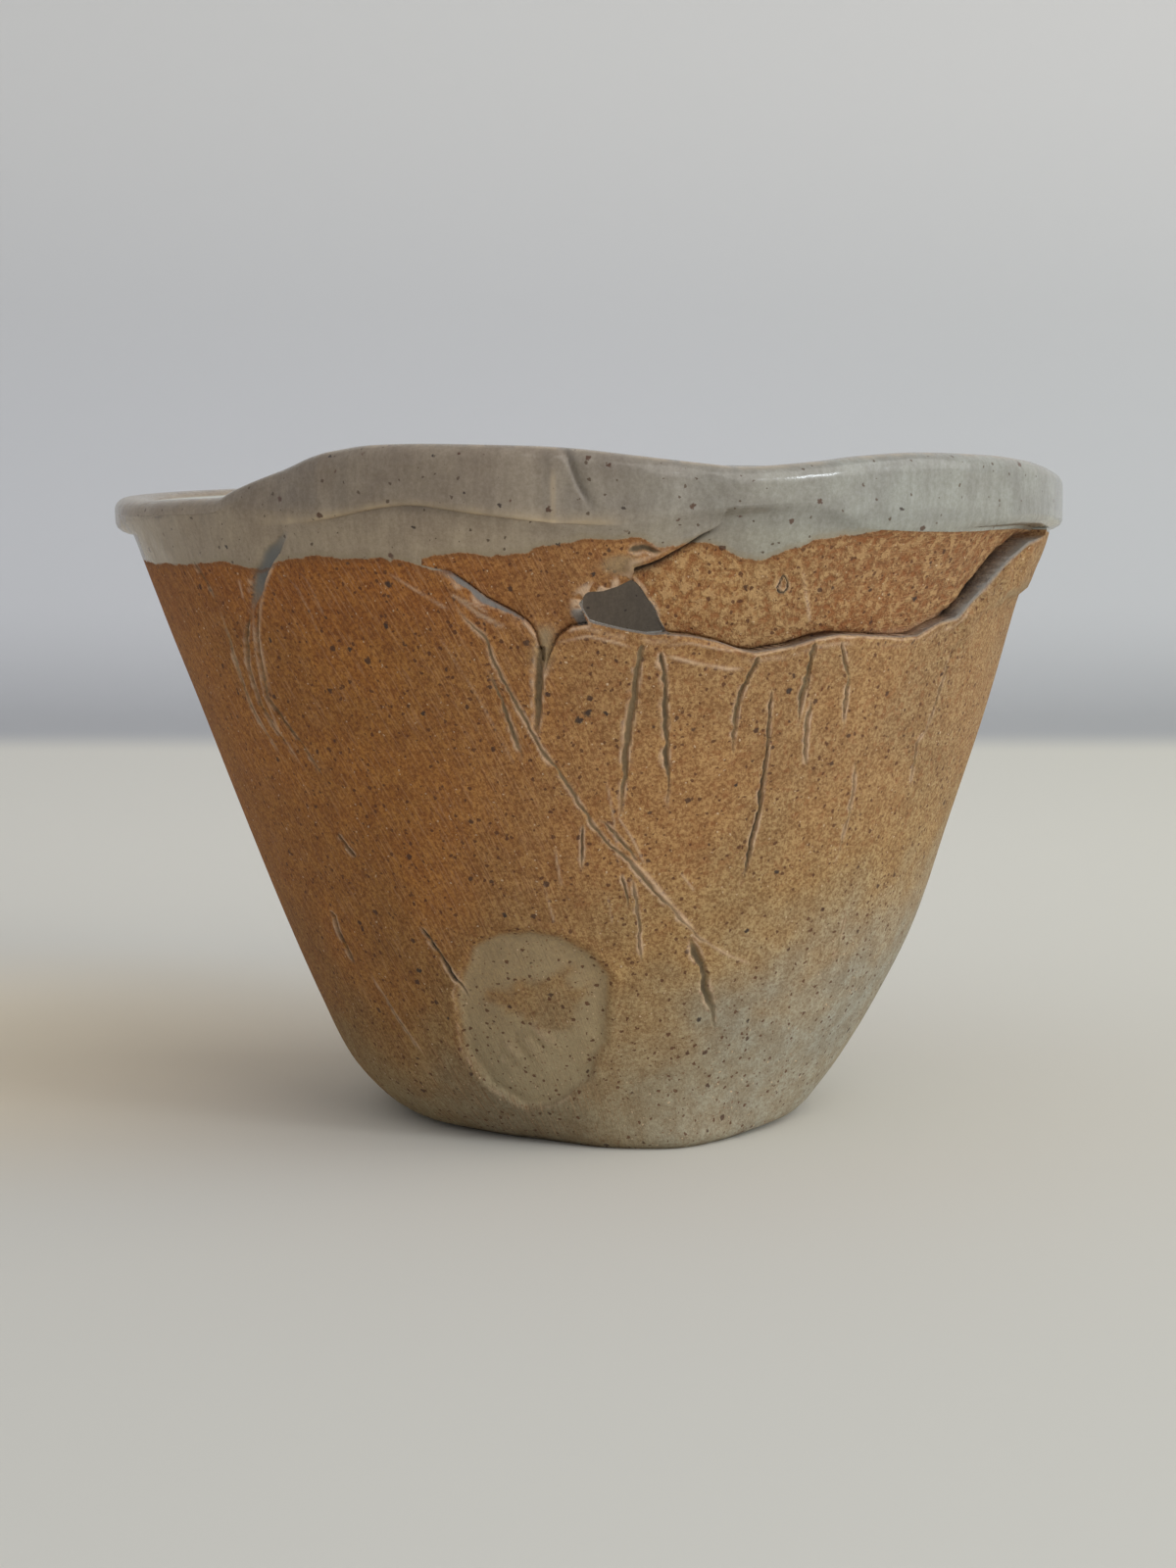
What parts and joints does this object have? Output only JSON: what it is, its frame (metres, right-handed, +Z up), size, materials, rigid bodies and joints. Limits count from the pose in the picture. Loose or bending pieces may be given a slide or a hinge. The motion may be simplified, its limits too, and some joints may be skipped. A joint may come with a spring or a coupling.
{
  "type": "cracked cup",
  "caption": "Hand-pressed stoneware cup without a handle, with a wavy glazed rim collar, a torn and lapped wall with a hole through it, and drying cracks.",
  "frame": {"origin": "centre of the cup's box on the surface it stands on", "axes": "+Z up, -Y towards the torn front of the wall, +X to the right when facing the front"},
  "size_m": [0.0835, 0.081, 0.0595],
  "materials": {
    "stoneware": "bare flashed clay, with a glossy pale grey glaze on the rim collar and inside"
  },
  "bodies": {
    "root": {"cracked_cup": "stoneware"}
  },
  "joints": []
}
